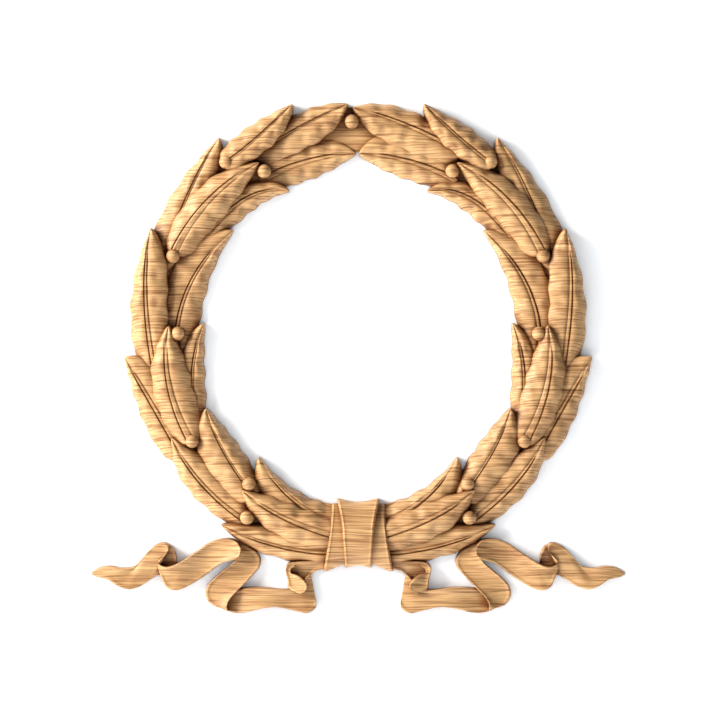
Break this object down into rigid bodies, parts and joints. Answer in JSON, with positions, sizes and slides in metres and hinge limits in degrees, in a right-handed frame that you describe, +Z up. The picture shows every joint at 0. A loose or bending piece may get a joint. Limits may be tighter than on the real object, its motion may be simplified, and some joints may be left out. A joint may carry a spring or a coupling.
{
  "type": "laurel wreath applique",
  "caption": "Laurel wreath applique carved in wood: two leafy branches with berries, bound at the foot by a ribbon whose tails flutter to both sides, flat at the back.",
  "frame": {"origin": "on the flat back, behind the middle of the binding at the foot of the wreath", "axes": "+X to the viewer's right, +Z up, the carved front faces -Y and the flat back lies on the plane Y = 0"},
  "size_m": [0.4, 0.0196, 0.3824],
  "materials": {
    "wood": "satin"
  },
  "bodies": {
    "root": {"laurel_wreath_applique": "wood"}
  },
  "joints": []
}
